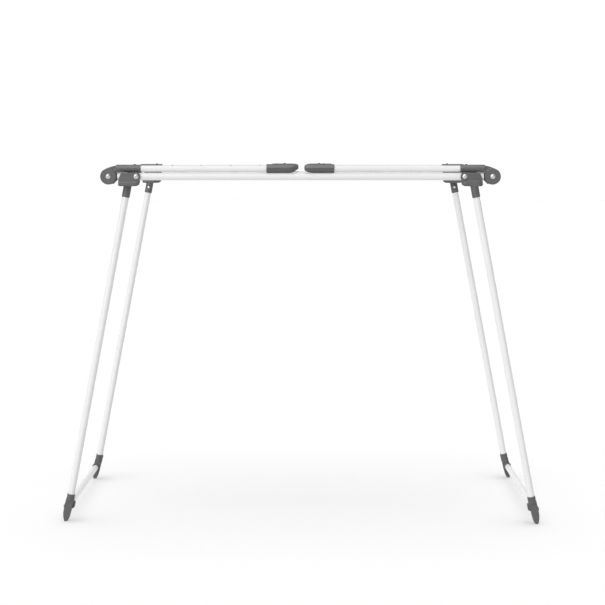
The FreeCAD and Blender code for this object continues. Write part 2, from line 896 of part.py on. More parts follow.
def make_leg(side, end):
    c = cells
    name = f"{SIDE_NAMES[side]}_{END_NAMES[end]}_leg"
    radius = c["leg_diameter"] / 2
    finish = c["leg_length"] - c["leg_foot_gap"]
    length = finish - c["leg_top"]
    axis_x, axis_y = -c["leg_offset"], leg_plane(end)
    skin = cylinder(f"{name}_skin", radius, length, (0, 0, 1), (axis_x, axis_y, -finish))
    bore = cylinder(
        f"{name}_bore",
        radius - c["tube_wall"],
        length + PAST * 2,
        (0, 0, 1),
        (axis_x, axis_y, -finish - PAST),
    )
    rivet = cylinder(
        f"{name}_rivet_hole",
        c["rivet_diameter"] / 2 + c["fit_clearance"],
        radius + PAST,
        (0, end * side, 0),
        (axis_x, axis_y, -RIVET_DISTANCE),
    )
    foot_rivet = cylinder(
        f"{name}_foot_rivet_hole",
        c["rivet_diameter"] / 2 + c["fit_clearance"],
        radius + PAST,
        (1, 0, 0),
        (axis_x, axis_y, FOOT_RIVET_HEIGHT - c["leg_length"]),
    )
    keep(cut(name, skin, [bore, rivet, foot_rivet]), name, at_pivot(side, end) * lean())


def make_foot(side, end):
    """Foot: a collar on the leg, a narrowing toe with a level pad, and a clip round the crossbar."""
    c = cells
    name = f"{SIDE_NAMES[side]}_{END_NAMES[end]}_foot"
    body = doc.addObject("PartDesign::Body", name)
    slope = math.tan(math.radians(c["splay"].value))
    collar_radius = c["foot_collar_diameter"] / 2
    belly, belly_height = c["foot_belly"], c["foot_belly_height"]
    pad_outer, pad_inner = c["foot_pad_outer"], c["foot_pad_inner"]
    drop = belly_height + pad_outer * slope
    run = belly - pad_outer
    bend = (run * run + drop * drop) / (run * 2)
    points = [
        (-collar_radius + INSIDE, c["foot_toe_top"]),
        (-belly, c["foot_belly_top"]),
        (-belly, belly_height),
        (-pad_outer, -pad_outer * slope),
        (pad_inner, pad_inner * slope),
        *FOOT_INSTEP,
        (collar_radius - INSIDE, c["foot_toe_top"]),
    ]
    toe = outline(body, "XZ_Plane", f"{name}_toe", points, {2: (bend - belly, belly_height, bend, True)})
    pad(body, toe, c["foot_width"], both_ways=True)

    collar_start = c["leg_foot_gap"] - COLLAR_FLOOR
    collar = circle(body, "XY_Plane", f"{name}_collar", (0, 0), collar_radius, shift(z=collar_start))
    pad(body, collar, c["foot_collar_top"] - collar_start)

    inner = end * side
    centre = (-c["crossbar_out"], c["crossbar_lift"])
    bar = c["crossbar_diameter"] / 2
    block_reach = FOOT_BLOCK_REACH[end]
    block = outline(
        body,
        "XZ_Plane",
        f"{name}_block",
        [
            (FOOT_BLOCK_BACK, FOOT_BLOCK_FLOOR),
            (block_reach - FOOT_BLOCK_CORNER, FOOT_BLOCK_FLOOR),
            (block_reach, FOOT_BLOCK_FLOOR + FOOT_BLOCK_CORNER),
            (block_reach, FOOT_BLOCK_TOP - FOOT_BLOCK_CORNER),
            (block_reach - FOOT_BLOCK_CORNER, FOOT_BLOCK_TOP),
            (FOOT_BLOCK_BACK, FOOT_BLOCK_TOP),
        ],
        offset=shift(z=-inner * FOOT_BLOCK_START),
    )
    pad(body, block, FOOT_BLOCK_WIDTH, reverse=inner == 1)
    clip_plane = shift(z=-inner * CLIP_START)
    clip = circle(body, "XZ_Plane", f"{name}_clip", centre, bar + c["clip_wall"], clip_plane)
    pad(body, clip, c["clip_length"] - CLIP_START, reverse=inner == 1)
    seat_plane = shift(z=-inner * CLIP_SEAT_START)
    seat = circle(body, "XZ_Plane", f"{name}_seat", centre, bar + c["fit_clearance"], seat_plane)
    pocket(body, seat, c["clip_length"] + PAST, reverse=inner == -1)

    # The clip is open below and on its outer side, so the crossbar snaps in.
    reach = bar + c["clip_wall"] + PAST
    mouth = outline(
        body,
        "XZ_Plane",
        f"{name}_mouth",
        [
            centre,
            (centre[0] - reach, centre[1] + reach * CLIP_HOOK_RISE),
            (centre[0] - reach, centre[1] - reach),
            (centre[0] + CLIP_LIP, centre[1] - reach),
        ],
        offset=shift(z=-inner * (c["foot_width"] / 2)),
    )
    pocket(body, mouth, c["clip_length"], reverse=inner == -1)

    bore = circle(
        body,
        "XY_Plane",
        f"{name}_bore",
        (0, 0),
        c["leg_diameter"] / 2 + c["fit_clearance"],
        shift(z=c["foot_collar_top"] + PAST),
    )
    pocket(body, bore, c["foot_collar_top"] + PAST + SPARE - c["leg_foot_gap"])
    rivet = circle(
        body,
        "YZ_Plane",
        f"{name}_rivet_hole",
        (0, FOOT_RIVET_HEIGHT),
        c["rivet_diameter"] / 2 + c["fit_clearance"],
        shift(z=collar_radius + PAST),
    )
    pocket(body, rivet, collar_radius)
    tip = FreeCAD.Placement(
        FreeCAD.Vector(-c["leg_offset"].value, leg_plane(end).value, -c["leg_length"].value),
        FreeCAD.Rotation(),
    )
    keep(body, name, at_pivot(side, end) * lean() * tip)


def make_crossbar(side):
    c = cells
    name = f"{SIDE_NAMES[side]}_crossbar"
    radius = c["crossbar_diameter"] / 2
    half = c["rail_spread"] + side * c["leg_nesting"] - CROSSBAR_END_GAP
    skin = cylinder(f"{name}_skin", radius, half * 2, (0, 1, 0), (0, -half, 0))
    bore = cylinder(
        f"{name}_bore", radius - c["tube_wall"], (half + PAST) * 2, (0, 1, 0), (0, -half - PAST, 0)
    )
    spot = FreeCAD.Placement(
        FreeCAD.Vector(
            -(c["leg_offset"] + c["crossbar_out"]).value, 0, -(c["leg_length"] - c["crossbar_lift"]).value
        ),
        FreeCAD.Rotation(),
    )
    middle = at_pivot(side, FRONT)
    middle.Base.y = 0
    keep(cut(name, skin, [bore]), name, middle * lean() * spot)


# ---------------------------------------------------------------- fasteners

def make_headed_pin(name, shank_radius, shank_length, head_radius, head_height, recess=None):
    """A domed head on a plain shank. The shank runs along +Z, from the head's underside at 0.

    recess is the outline of the driver's hole in the head, where there is one.
    """
    body = doc.addObject("PartDesign::Body", name)
    rim = head_height * 0.3
    rise = head_height - rim
    bend = (head_radius * head_radius + rise * rise) / (rise * 2)
    profile = outline(
        body,
        "XZ_Plane",
        f"{name}_profile",
        [
            (0, shank_length),
            (0, -head_height),
            (head_radius, -rim),
            (head_radius, 0),
            (shank_radius, 0),
            (shank_radius, shank_length),
        ],
        {1: (0, bend - head_height, bend, True)},
    )
    turned = body.newObject("PartDesign::Revolution", f"{name}_turned")
    turned.Profile = profile
    turned.ReferenceAxis = (profile, ["V_Axis"])
    turned.Angle = 360
    if recess:
        driver = outline(body, "XY_Plane", f"{name}_driver", recess, offset=shift(z=-head_height - 0.1))
        pocket(body, driver, head_height * RECESS_SHARE + 0.1, reverse=True)
    return body


def hexagon(radius):
    return [(radius * math.cos(angle), radius * math.sin(angle)) for angle in SIXTHS]


def cross(half_length, half_width):
    """A plus sign's twelve corners, in order."""
    corners = []
    for across, up in ((1, 0), (0, 1), (-1, 0), (0, -1)):
        for sign in (-1, 1):
            corners.append(
                (
                    across * half_length - sign * up * half_width,
                    up * half_length + sign * across * half_width,
                )
            )
        corners.append(
            (
                across * half_width - up * half_width,
                up * half_width + across * half_width,
            )
        )
    return corners


def facing_in(end):
    """Turns +Z, a fastener's shank, to point from the outside of the rack to its inside."""
    return FreeCAD.Rotation(FreeCAD.Vector(0, 0, 1), FreeCAD.Vector(0, -end, 0))


def cross_bolt_places(across, stack):
    """Where the four bolts through a pair of joints start: under the head, outside the rack."""
    c = cells
    places = []
    for side in (LEFT, RIGHT):
        for end in (FRONT, REAR):
            out = end * (c["rail_spread"] + stack / 2 + 0.2)
            base = FreeCAD.Vector(side * across.value, out.value, c["rail_height"].value)
            places.append(FreeCAD.Placement(base, facing_in(end)))
    return places


def make_bolts(name, across, stack):
    """Four bolts and their nuts, each in one node."""
    c = cells
    radius = c["bolt_diameter"] / 2
    grip = stack + 0.4
    bolt = make_headed_pin(
        f"{name}_bolt",
        radius,
        grip + c["nut_height"] + 1,
        c["bolt_head_diameter"] / 2,
        as_size(4),
        hexagon(BOLT_SOCKET_RADIUS),
    )
    places = cross_bolt_places(across, stack)
    keep(copies(f"{name}_bolts", bolt, places), f"{name}_bolts")

    blank = doc.addObject("Part::Prism", f"{name}_nut_blank")
    blank.Polygon = 6
    blank.setExpression("Circumradius", (c["nut_flats_diameter"] / 2).text)
    blank.setExpression("Height", c["nut_height"].text)
    bore = cylinder(
        f"{name}_nut_bore", radius + c["fit_clearance"], c["nut_height"] + 2, (0, 0, 1), (0, 0, -1)
    )
    nut = cut(f"{name}_nut", blank, [bore])
    along = FreeCAD.Placement(FreeCAD.Vector(0, 0, grip.value), FreeCAD.Rotation())
    keep(copies(f"{name}_nuts", nut, [place * along for place in places]), f"{name}_nuts")


def make_wing_screws(side):
    """Screws that hold the side tubes in the elbows and tips, seen from above."""
    c = cells
    name = f"{SIDE_NAMES[side]}_wing_screws"
    radius = c["screw_diameter"] / 2
    head = c["screw_head_diameter"] / 2
    screw = make_headed_pin(f"{name}_screw", radius, as_size(5), head, as_size(2), cross(*SCREW_CROSS))
    down = FreeCAD.Rotation(FreeCAD.Vector(1, 0, 0), 180)
    places = []
    for end in (FRONT, REAR):
        for across, outside in (
            (ELBOW_SCREW_X, c["elbow_diameter"]),
            (c["hinge_x"].value - WING_SCREW_X[end], c["tip_diameter"]),
        ):
            height = (c["wing_lift"] + outside / 2 + EPSILON).value
            place = FreeCAD.Placement(FreeCAD.Vector(across, 0, height), down)
            places.append(at_hinge(side, end) * place)
    keep(copies(name, screw, places), name)


def make_rivets(side):
    """Rivets through each leg's socket and foot, on the sides that face the middle of the rack."""
    c = cells
    name = f"{SIDE_NAMES[side]}_leg_rivets"
    radius = c["rivet_diameter"] / 2
    rivet = make_headed_pin(f"{name}_rivet", radius, as_size(4.5), c["rivet_head_diameter"] / 2, as_size(1.6))
    places = []
    for end in (FRONT, REAR):
        inner = end * side
        out = leg_plane(end) + inner * (c["socket_diameter"] / 2 + EPSILON)
        turned = FreeCAD.Rotation(FreeCAD.Vector(0, 0, 1), FreeCAD.Vector(0, -inner, 0))
        spot = FreeCAD.Vector(-c["leg_offset"].value, out.value, -RIVET_DISTANCE)
        places.append(at_pivot(side, end) * lean() * FreeCAD.Placement(spot, turned))

        across = c["foot_collar_diameter"] / 2 - c["leg_offset"] + EPSILON
        turned = FreeCAD.Rotation(FreeCAD.Vector(0, 0, 1), FreeCAD.Vector(-1, 0, 0))
        spot = FreeCAD.Vector(across.value, leg_plane(end).value, (FOOT_RIVET_HEIGHT - c["leg_length"]).value)
        places.append(at_pivot(side, end) * lean() * FreeCAD.Placement(spot, turned))
    keep(copies(name, rivet, places), name)


# ---------------------------------------------------------------- assembly

for rack_end in (FRONT, REAR):
    make_rail(rack_end)
make_centre_rods()
for rack_side in (LEFT, RIGHT):
    make_cross_tube(rack_side)
    make_outer_bar(rack_side)
    make_wing_rods(rack_side)
    make_grommets(rack_side)
    make_wing_screws(rack_side)
    make_rivets(rack_side)
    make_crossbar(rack_side)
    for rack_end in (FRONT, REAR):
        make_knuckle(rack_side, rack_end)
        make_elbow(rack_side, rack_end)
        make_wing_tube(rack_side, rack_end)
        make_tip(rack_side, rack_end)
        make_bracket(rack_side, rack_end)
        make_leg(rack_side, rack_end)
        make_foot(rack_side, rack_end)
make_bolts("hinge", cells["hinge_x"], cells["disc_width"])
make_bolts("leg_pivot", cells["pivot_x"], cells["bracket_width"])

doc.recompute()
for thing in doc.Objects:
    for state in ("Invalid", "Error"):
        if state in thing.State:
            raise RuntimeError(f"{thing.Name} is {state}")
for node in node_objects:
    if node.Shape.isNull() or not node.Shape.isValid():
        raise RuntimeError(f"{node.Label} has no valid shape")
for node in node_objects:
    node.Shape.exportStep(f"parts/{node.Label}.step")
print(f"{len(node_objects)} sub-parts written")
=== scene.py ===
import json
import math

import bmesh
import bpy
from mathutils import Matrix, Vector, noise


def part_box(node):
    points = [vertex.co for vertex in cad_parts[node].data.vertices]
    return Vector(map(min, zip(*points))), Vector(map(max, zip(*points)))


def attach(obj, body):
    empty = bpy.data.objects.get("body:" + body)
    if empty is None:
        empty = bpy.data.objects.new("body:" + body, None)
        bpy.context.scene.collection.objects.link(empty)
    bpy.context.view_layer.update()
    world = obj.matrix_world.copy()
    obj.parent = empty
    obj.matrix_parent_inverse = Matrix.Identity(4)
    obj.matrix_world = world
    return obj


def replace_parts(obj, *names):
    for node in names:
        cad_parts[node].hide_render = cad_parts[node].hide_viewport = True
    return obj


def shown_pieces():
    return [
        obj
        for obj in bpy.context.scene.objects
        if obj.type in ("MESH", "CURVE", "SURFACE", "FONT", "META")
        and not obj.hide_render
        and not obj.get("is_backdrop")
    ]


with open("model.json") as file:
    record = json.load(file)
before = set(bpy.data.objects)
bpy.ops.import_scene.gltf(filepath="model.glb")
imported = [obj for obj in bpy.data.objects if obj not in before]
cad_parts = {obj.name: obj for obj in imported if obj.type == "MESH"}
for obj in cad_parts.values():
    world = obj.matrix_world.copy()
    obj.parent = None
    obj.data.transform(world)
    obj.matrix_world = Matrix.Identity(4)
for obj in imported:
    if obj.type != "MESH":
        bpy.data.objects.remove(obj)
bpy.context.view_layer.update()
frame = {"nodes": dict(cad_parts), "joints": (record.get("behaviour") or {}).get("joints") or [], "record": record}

RECORD = frame["record"]
NODES = frame["nodes"]
SLOT_OF = {part["node"]: part["material_slot"] for part in RECORD["subparts"]}
BODY_OF = {
    node: body
    for body, members in RECORD["behaviour"]["bodies"].items()
    for node in members
}
SIDES = {"left": -1, "right": 1}
ENDS = {"front": -1, "rear": 1}


# ---------------------------------------------------------------- materials
# Noise scales are per metre, and bump distances and edge radii are in metres.

class Nodes:
    """Short calls for building a material's node tree."""

    # A Mix node has sockets of these numbers for its colours; their names repeat.
    MIX_COLOURS = (6, 7)
    MIX_RESULT = 2
    # How far two normals agree at an edge: a sharp edge, and nearly flat.
    EDGE_AGREEMENT, FLAT_AGREEMENT = 0.9, 0.995
    BEVEL_SAMPLES = 4

    def __init__(self, name):
        self.material = bpy.data.materials.new(name)
        self.material.use_nodes = True
        self.tree = self.material.node_tree
        self.tree.nodes.clear()
        output = self.add("ShaderNodeOutputMaterial")
        self.shader = self.add("ShaderNodeBsdfPrincipled")
        self.link(self.shader.outputs["BSDF"], output.inputs["Surface"])
        self.place = self.add("ShaderNodeTexCoord").outputs["Object"]

    def add(self, kind, **settings):
        node = self.tree.nodes.new(kind)
        for key, value in settings.items():
            setattr(node, key, value)
        return node

    def link(self, start, end):
        self.tree.links.new(start, end)

    def noise(self, scale, detail, rough=0.5, stretch=None):
        node = self.add("ShaderNodeTexNoise")
        node.inputs["Scale"].default_value = scale
        node.inputs["Detail"].default_value = detail
        node.inputs["Roughness"].default_value = rough
        place = self.place
        if stretch:
            mapping = self.add("ShaderNodeMapping")
            mapping.inputs["Scale"].default_value = stretch
            self.link(place, mapping.inputs["Vector"])
            place = mapping.outputs["Vector"]
        self.link(place, node.inputs["Vector"])
        return node.outputs["Fac"]

    def cells(self, scale):
        node = self.add("ShaderNodeTexVoronoi", feature="SMOOTH_F1")
        node.inputs["Scale"].default_value = scale
        self.link(self.place, node.inputs["Vector"])
        return node.outputs["Distance"]

    def spread(self, value, low, high, start=0.0, end=1.0):
        """value, taken from the range low to high onto the range start to end."""
        node = self.add("ShaderNodeMapRange", clamp=True)
        limits = {"From Min": low, "From Max": high, "To Min": start, "To Max": end}
        for key, number in limits.items():
            node.inputs[key].default_value = number
        self.link(value, node.inputs["Value"])
        return node.outputs["Result"]

    def math(self, kind, first, second):
        node = self.add("ShaderNodeMath", operation=kind)
        for socket, value in zip(node.inputs, (first, second)):
            if isinstance(value, (int, float)):
                socket.default_value = value
            else:
                self.link(value, socket)
        return node.outputs["Value"]

    def mix(self, share, first, second):
        """The first colour with a share of the second."""
        node = self.add("ShaderNodeMix", data_type="RGBA")
        self.link(share, node.inputs["Factor"])
        for number, value in zip(self.MIX_COLOURS, (first, second)):
            socket = node.inputs[number]
            if isinstance(value, tuple):
                socket.default_value = (*value, 1.0)
            else:
                self.link(value, socket)
        return node.outputs[self.MIX_RESULT]

    def edges(self, radius):
        """1 along edges, where hands and use would rub the finish, and 0 on flat places."""
        bevel = self.add("ShaderNodeBevel", samples=self.BEVEL_SAMPLES)
        bevel.inputs["Radius"].default_value = radius
        geometry = self.add("ShaderNodeNewGeometry")
        product = self.add("ShaderNodeVectorMath", operation="DOT_PRODUCT")
        self.link(bevel.outputs["Normal"], product.inputs[0])
        self.link(geometry.outputs["Normal"], product.inputs[1])
        agreement = product.outputs["Value"]
        return self.spread(agreement, self.FLAT_AGREEMENT, self.EDGE_AGREEMENT)

    def bump(self, height, strength, distance, under=None):
        node = self.add("ShaderNodeBump")
        node.inputs["Strength"].default_value = strength
        node.inputs["Distance"].default_value = distance
        self.link(height, node.inputs["Height"])
        if under:
            self.link(under, node.inputs["Normal"])
        return node.outputs["Normal"]

    def set(self, **values):
        for key, value in values.items():
            socket = self.shader.inputs[key.replace("_", " ")]
            if isinstance(value, tuple):
                socket.default_value = (*value, 1.0)
            elif isinstance(value, (int, float)):
                socket.default_value = value
            else:
                self.link(value, socket)


def shade(tint, share):
    return tuple(share * value for value in tint)


def powder_coat(name, tint, worn):
    """White powder coat on steel: fine orange peel, faint tone changes, dust and worn edges."""
    n = Nodes(name)
    thin_coat, dusty = shade(tint, 0.965), shade(tint, 0.9)
    tone = n.noise(scale=5.0, detail=3.0)
    dust = n.noise(scale=46.0, detail=5.0, rough=0.65)
    colour = n.mix(n.spread(tone, low=0.3, high=0.7), tint, thin_coat)
    colour = n.mix(n.spread(dust, low=0.58, high=0.8, end=0.35), colour, dusty)
    edges = n.edges(radius=0.0007)
    chips = n.spread(n.noise(scale=210.0, detail=4.0, rough=0.7), low=0.45, high=0.7)
    worn_share = n.math("MULTIPLY", n.math("MULTIPLY", edges, chips), 0.55)
    colour = n.mix(worn_share, colour, worn)
    peel = n.bump(n.noise(scale=750.0, detail=1.5), strength=0.22, distance=0.00012)
    waves = n.bump(n.noise(scale=120.0, detail=1.0), strength=0.1, distance=0.0002, under=peel)
    coat_rough = n.spread(tone, low=0.3, high=0.7, start=0.27, end=0.33)
    dust_rough = n.spread(dust, low=0.5, high=0.85, end=0.16)
    rough = n.math("ADD", coat_rough, dust_rough)
    n.set(Base_Color=colour, Roughness=rough, Normal=waves, Metallic=0.0, IOR=1.5)
    n.set(Coat_Weight=0.18, Coat_Roughness=0.16)
    return n.material


def grained_plastic(name, tint):
    """Dark grey polypropylene: moulded grain, flow marks, paler rubbed edges and some dust."""
    n = Nodes(name)
    flowed, dusty, rubbed = (shade(tint, share) for share in (1.16, 1.45, 2.1))
    flow = n.noise(scale=38.0, detail=3.0, rough=0.6, stretch=(1.0, 1.0, 2.4))
    dust = n.noise(scale=160.0, detail=5.0, rough=0.7)
    colour = n.mix(n.spread(flow, low=0.3, high=0.72), tint, flowed)
    colour = n.mix(n.spread(dust, low=0.56, high=0.82, end=0.5), colour, dusty)
    edges = n.edges(radius=0.0009)
    patches = n.noise(scale=260.0, detail=4.0, rough=0.7)
    wear = n.math("MULTIPLY", edges, n.spread(patches, low=0.35, high=0.7, start=0.25))
    rubbed_share = n.math("MULTIPLY", wear, 0.6)
    colour = n.mix(rubbed_share, colour, rubbed)
    grains = n.math("ADD", n.noise(scale=2600.0, detail=2.0, rough=0.6), n.cells(scale=1500.0))
    bump = n.bump(grains, strength=0.32, distance=0.00009)
    matt = n.spread(dust, low=0.3, high=0.8, start=0.38, end=0.54)
    polish = n.math("MULTIPLY", wear, 0.12)
    rough = n.math("SUBTRACT", matt, polish)
    n.set(Base_Color=colour, Roughness=rough, Normal=bump, Metallic=0.0, IOR=1.58)
    return n.material


def zinc_plate(name, bright, cloudy, rubbed):
    """Zinc plate: turned marks, cloudy passivation and rubbed edges."""
    n = Nodes(name)
    cloud = n.noise(scale=420.0, detail=4.0, rough=0.6)
    colour = n.mix(n.spread(cloud, low=0.3, high=0.7), bright, cloudy)
    rubbed_share = n.math("MULTIPLY", n.edges(radius=0.0004), 0.5)
    colour = n.mix(rubbed_share, colour, rubbed)
    turned = n.noise(scale=2400.0, detail=3.0, rough=0.7, stretch=(1.0, 0.25, 1.0))
    marks = n.bump(turned, strength=0.18, distance=0.00006)
    rough = n.spread(cloud, low=0.3, high=0.8, start=0.2, end=0.36)
    n.set(Base_Color=colour, Roughness=rough, Normal=marks, Metallic=1.0)
    return n.material


# By the record's material slots.
MATERIALS = {
    "white_steel": powder_coat(
        "white_powder_coat", tint=(0.757, 0.757, 0.757), worn=(0.42, 0.42, 0.41)
    ),
    "grey_plastic": grained_plastic("grey_grained_plastic", tint=(0.065, 0.065, 0.0655)),
    "zinc": zinc_plate(
        "bright_zinc",
        bright=(0.72, 0.72, 0.73),
        cloudy=(0.54, 0.55, 0.58),
        rubbed=(0.88, 0.88, 0.88),
    ),
    "black_zinc": zinc_plate(
        "black_zinc",
        bright=(0.055, 0.055, 0.058),
        cloudy=(0.035, 0.035, 0.038),
        rubbed=(0.3, 0.3, 0.3),
    ),
}


def paint(piece, material):
    piece.data.materials.clear()
    piece.data.materials.append(material)


for node_name, node_object in NODES.items():
    paint(node_object, MATERIALS[SLOT_OF[node_name]])


# ---------------------------------------------------------------- places

JOINTS = {joint["name"]: joint for joint in frame["joints"]}
MM = 0.001


def middle(node):
    low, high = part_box(node)
    return (low + high) / 2


def half_height(node):
    """The radius of a level tube or rod."""
    low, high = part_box(node)
    return (high.z - low.z) / 2


RAIL_Y = abs(middle("front_rail").y)
RAIL_RADIUS = half_height("front_rail")


def joint_place(side, kind, end):
    """The place for shapes drawn for a left hinge or pivot; right ones turn half a turn."""
    spot = Vector(JOINTS[f"{side}_{kind}"]["pos_m"])
    spot.y = ENDS[end] * RAIL_Y
    turned = Matrix.Rotation(math.pi if side == "right" else 0.0, 4, "Z")
    return Matrix.Translation(spot) @ turned


# ---------------------------------------------------------------- mesh pieces

SAME_POINT = 1e-7  # metres: vertices nearer than this are one
LATHE_STEPS = 48


def new_piece(name, mesh, body, slot):
    """A smooth-shaded piece in a slot's material, riding on a body."""
    mesh.polygons.foreach_set("use_smooth", [True] * len(mesh.polygons))
    piece = as_object(name, mesh)
    paint(piece, MATERIALS[slot])
    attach(piece, body)
    return piece


def prism(points, low, high, place):
    """A closed block from an outline in X and Z, between two depths in Y, in millimetres."""
    bm = bmesh.new()
    rings = [
        [bm.verts.new(place @ (Vector((x, depth, z)) * MM)) for x, z in points]
        for depth in (low, high)
    ]
    count = len(points)
    bm.faces.new(rings[0])
    bm.faces.new(rings[1][::-1])
    for number in range(count):
        after = (number + 1) % count
        bm.faces.new(
            [rings[0][after], rings[0][number], rings[1][number], rings[1][after]]
        )
    bmesh.ops.recalc_face_normals(bm, faces=bm.faces)
    return bm


def lathe(profile, place):
    """A closed ring: (radius, depth) points in millimetres turned about the place's Y axis."""
    bm = bmesh.new()
    rings = []
    for number in range(LATHE_STEPS):
        angle = 2 * math.pi * number / LATHE_STEPS
        across, up = math.cos(angle), math.sin(angle)
        rings.append(
            [
                bm.verts.new(place @ (Vector((radius * across, depth, radius * up)) * MM))
                for radius, depth in profile
            ]
        )
    count = len(profile)
    for number in range(LATHE_STEPS):
        here, there = rings[number], rings[(number + 1) % LATHE_STEPS]
        for row in range(count):
            after = (row + 1) % count
            bm.faces.new([here[row], there[row], there[after], here[after]])
    bmesh.ops.remove_doubles(bm, verts=bm.verts, dist=SAME_POINT)
    bmesh.ops.recalc_face_normals(bm, faces=bm.faces)
    return bm


def as_mesh(name, bm):
    mesh = bpy.data.meshes.new(name)
    bm.to_mesh(mesh)
    bm.free()
    return mesh


def as_object(name, data):
    thing = bpy.data.objects.new(name, data)
    bpy.context.scene.collection.objects.link(thing)
    return thing


def cad_copy(node):
    """A node's CAD mesh with its faces joined up."""
    bm = bmesh.new()
    bm.from_mesh(NODES[node].data)
    bmesh.ops.remove_doubles(bm, verts=bm.verts, dist=SAME_POINT)
    return bm


def settled_mesh(thing):
    """The mesh that a thing's modifiers make."""
    graph = bpy.context.evaluated_depsgraph_get()
    return bpy.data.meshes.new_from_object(thing.evaluated_get(graph))


# ---------------------------------------------------------------- mouldings
# Outlines and depths are in millimetres. An outline's points are X and Z from the joint's axis on
# the left side, and depths are along that axis from the middle of the rail.

MOULDING_VOXEL = 0.7 * MM
SOFTEN_SHARE, SOFTEN_TURNS = 0.5, 5
THINNED_TO = 0.35  # of the remeshed faces
TOOL_SPARE = 2  # how far a cutting block stands out of the face that it cuts

ELBOW_FACE = 12.5  # depth of the hinge disc's faces
RING_INNER, RING_OUTER, RING_DEPTH = 8.6, 9.8, 0.8
RING_TOOL_REACH = 1.2  # of the face's depth
NECK_RIB = [(9, 12), (20, 11.2), (27, 13.6), (20, 20)]
RIB_NEAR, RIB_FAR = 7.0, 9.6

LEDGE_RISE = 0.6 * MM  # above the tube's axis
LEDGE_HEIGHT = 0.7 * MM
TIP_CORE = 8.6 * MM  # nearer to the axis than this, the tip keeps its shape
TIP_SET_BACK = 0.075  # of the distance from the axis

CHEEK_FACE = 14.0
CHEEK_GROOVE = [(-45, -0.6), (-13, -0.6), (-13, 0.7), (-45, 0.7)]
CHEEK_PAD = [(-44, -24.2), (-2, -24.2), (2, -20), (0, -15.5), (-43, -15.5), (-46, -19)]
CHEEK_RELIEF = 0.9  # how deep the groove is and how far the pad stands out
PAD_ROOT = 3


def moulding(node, added=(), removed=(), reshape=None):
    """The CAD moulding with its small features and the rounded edges that a mould leaves."""
    work = as_object(f"{node}_work", as_mesh(f"{node}_work", cad_copy(node)))
    helpers = [work]
    for number, part in enumerate(removed):
        name = f"{node}_cut_{number}"
        tool = as_object(name, as_mesh(name, part))
        carve = work.modifiers.new("carve", "BOOLEAN")
        carve.object, carve.operation, carve.solver = tool, "DIFFERENCE", "EXACT"
        helpers.append(tool)
    if removed:
        carved = settled_mesh(work)
        work.modifiers.clear()
        work.data = carved
    bm = bmesh.new()
    bm.from_mesh(work.data)
    for part in added:
        extra = as_mesh("extra", part)
        bm.from_mesh(extra)
        bpy.data.meshes.remove(extra)
    bm.to_mesh(work.data)
    bm.free()
    fuse = work.modifiers.new("fuse", "REMESH")
    fuse.mode, fuse.voxel_size = "VOXEL", MOULDING_VOXEL
    soften = work.modifiers.new("soften", "SMOOTH")
    soften.factor, soften.iterations = SOFTEN_SHARE, SOFTEN_TURNS
    thin = work.modifiers.new("thin", "DECIMATE")
    thin.ratio = THINNED_TO
    mesh = settled_mesh(work)
    for helper in helpers:
        bpy.data.objects.remove(helper, do_unlink=True)
    if reshape:
        for vertex in mesh.vertices:
            vertex.co = reshape(vertex.co)
    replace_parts(new_piece(f"{node}_moulding", mesh, BODY_OF[node], SLOT_OF[node]), node)


def make_elbow(side, end):
    """The hinge disc has a shallow ring round its bolt, and ribs join it to the neck."""
    place = joint_place(side, "wing_hinge", end)
    rings, ribs = [], []
    for face in (-1, 1):
        depth = ELBOW_FACE * face
        above, bottom = depth * RING_TOOL_REACH, depth - RING_DEPTH * face
        outline = [
            (RING_INNER, above),
            (RING_INNER, bottom),
            (RING_OUTER, bottom),
            (RING_OUTER, above),
        ]
        rings.append(lathe(outline, place))
        ribs.append(prism(NECK_RIB, *sorted((RIB_NEAR * face, RIB_FAR * face)), place))
    moulding(f"{side}_wing_{end}_elbow", added=ribs, removed=rings)


def make_tip(side, end):
    """The tip's lower half sits back from a parting ledge along its sides."""
    axis_y = ENDS[end] * RAIL_Y
    ledge = middle(f"{side}_wing_outer_bar").z + LEDGE_RISE

    def set_back(spot):
        drop = ledge - spot.z
        across = spot.y - axis_y
        if drop <= 0 or abs(across) < TIP_CORE:
            return spot
        share = min(1.0, drop / LEDGE_HEIGHT)
        return Vector((spot.x, axis_y + across * (1 - TIP_SET_BACK * share), spot.z))

    moulding(f"{side}_wing_{end}_tip", reshape=set_back)


def make_bracket(side, end):
    """The cheeks have a groove along the rail's line and a proud pad over the socket."""
    place = joint_place(side, "leg_pivot", end)
    grooves, pads = [], []
    for face in (-1, 1):
        outer = CHEEK_FACE * face
        groove = (outer - CHEEK_RELIEF * face, outer + TOOL_SPARE * face)
        pad = (outer - PAD_ROOT * face, outer + CHEEK_RELIEF * face)
        grooves.append(prism(CHEEK_GROOVE, *sorted(groove), place))
        pads.append(prism(CHEEK_PAD, *sorted(pad), place))
    moulding(f"{side}_{end}_bracket", added=pads, removed=grooves)


# ---------------------------------------------------------------- welds

BEAD_AROUND, BEAD_ACROSS = 40, 8  # points round the bar, and round the bead itself
LUMP_SHARE = 0.28  # of the bead's size
LUMP_PITCH = 3.1  # how fast the lumps change round a bead
LUMP_STRIDE = 7.7  # and from one bead to the next
FIRST_SEED, SEED_STEP = 1.3, 0.37
ROD_BEAD, CROSS_TUBE_BEAD, WING_ROD_BEAD = 1.1 * MM, 1.5 * MM, 1.0 * MM
PLACE_DIGITS = 5  # in metres: enough to put solids in order


